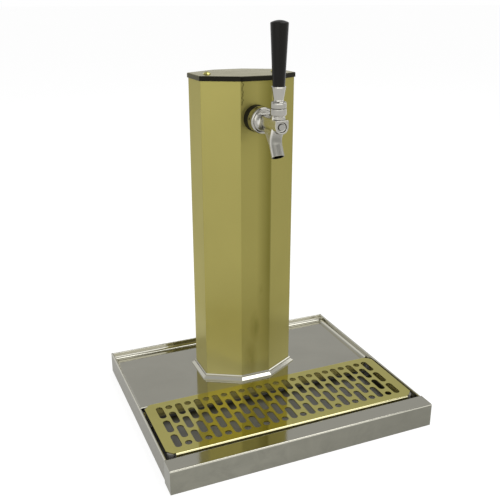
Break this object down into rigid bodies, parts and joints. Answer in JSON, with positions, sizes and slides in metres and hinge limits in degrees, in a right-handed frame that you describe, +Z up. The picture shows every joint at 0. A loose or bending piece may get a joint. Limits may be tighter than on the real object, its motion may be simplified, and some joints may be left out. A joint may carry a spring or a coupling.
{
  "type": "beer tower dispenser",
  "caption": "Countertop beer tower: an eight-sided brass column with a tap and upright handle, on a stainless drip base with a lift-out pan and grille.",
  "frame": {"origin": "centre of the base's footprint, on the surface that the feet stand on", "axes": "+Z up, -Y towards the person at the tap, +X to their right"},
  "size_m": [0.38, 0.323, 0.5425],
  "materials": {
    "stainless_sheet": "satin, fine brushing along the sheet",
    "brass_sheet": "polished, lightly smudged",
    "brass_screw": "polished",
    "pan_steel": "dull satin",
    "rubber_black": "matte",
    "rubber_grey": "matte",
    "plain_steel": "plain turned",
    "trim_steel": "satin",
    "cap_plastic": "satin moulded",
    "foam": "foam",
    "spacer_black": "gloss",
    "chrome_plate": "polished plate",
    "nylon_white": "matte",
    "handle_black": "gloss moulded"
  },
  "bodies": {
    "tower": {"base_housing": "stainless_sheet", "front_apron": "stainless_sheet", "tower_column": "brass_sheet", "cap_screws": "brass_screw", "rubber_feet": "rubber_black", "tower_gasket": "rubber_black", "tail_washer": "rubber_black", "coupling_washer": "rubber_black", "column_foot_plate": "plain_steel", "tower_bolts": "plain_steel", "tower_nuts": "plain_steel", "cap_bracket": "plain_steel", "tail_nut": "plain_steel", "shank_lock_nut": "plain_steel", "shank_washer": "plain_steel", "faucet_shank": "plain_steel", "beverage_tube": "plain_steel", "column_trim_ring": "trim_steel", "tower_cap": "cap_plastic", "insulation_sleeve": "foam", "shank_spacer": "spacer_black", "coupling_nut": "chrome_plate", "faucet_body": "chrome_plate", "bonnet": "chrome_plate", "ball_seat": "nylon_white", "friction_washer": "nylon_white"},
    "drip_tray": {"drip_pan": "pan_steel"},
    "grille": {"drip_grille": "brass_sheet", "grille_feet": "rubber_grey"},
    "lever": {"tap_lever": "chrome_plate", "handle_ferrule": "chrome_plate", "tap_handle": "handle_black"},
    "valve": {"valve_shaft": "plain_steel", "valve_washer": "rubber_black", "valve_nut": "plain_steel"}
  },
  "joints": [
    {"name": "drip_tray_lift", "type": "slide", "parent": "tower", "child": "drip_tray", "axis": [0, 0, 1], "range_m": [0, 0.04]},
    {"name": "grille_lift", "type": "slide", "parent": "drip_tray", "child": "grille", "axis": [0, 0, 1], "range_m": [0, 0.05]},
    {"name": "lever_swing", "type": "hinge", "parent": "tower", "child": "lever", "pos_m": [0, -0.0494, 0.429], "axis": [1, 0, 0], "range_deg": [0, 25]},
    {"name": "valve_travel", "type": "slide", "parent": "tower", "child": "valve", "axis": [0, 1, 0], "range_m": [0, 0.0056]}
  ],
  "couplings": [
    {"joint": "valve_travel", "follows": "lever_swing", "m_per_rad": 0.0126}
  ]
}
